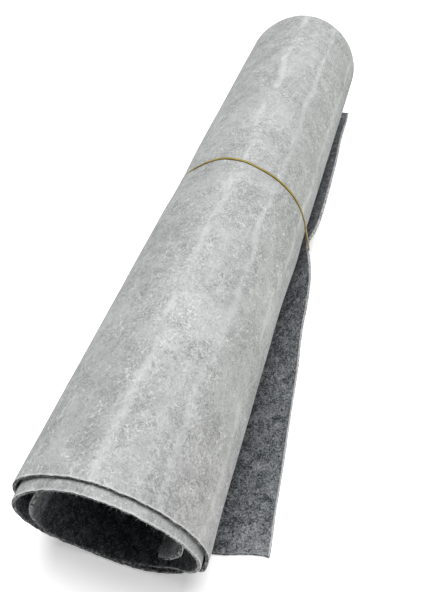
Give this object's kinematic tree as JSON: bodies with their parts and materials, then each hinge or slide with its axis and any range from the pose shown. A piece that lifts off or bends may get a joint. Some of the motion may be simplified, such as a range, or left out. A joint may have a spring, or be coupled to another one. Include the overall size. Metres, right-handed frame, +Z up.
{
  "type": "roll of felt with elastic band",
  "caption": "Felt sheet rolled up with its dark face inward and its pale face outward, a loose flap along one side and a thin elastic band around the middle.",
  "frame": {"origin": "middle of the part's footprint, on the surface that it lies on", "axes": "+Y along the roll, from the near end with the stepped layers to the far end; +X across the roll, towards the side where the flap lies out; +Z up"},
  "size_m": [0.1302, 0.4677, 0.1022],
  "materials": {
    "felt": "matt pale grey fibrous face outside, charcoal heather face inside",
    "band": "amber brown elastic, slightly translucent"
  },
  "bodies": {
    "root": {"felt_roll": "felt", "elastic_band": "band"}
  },
  "joints": []
}
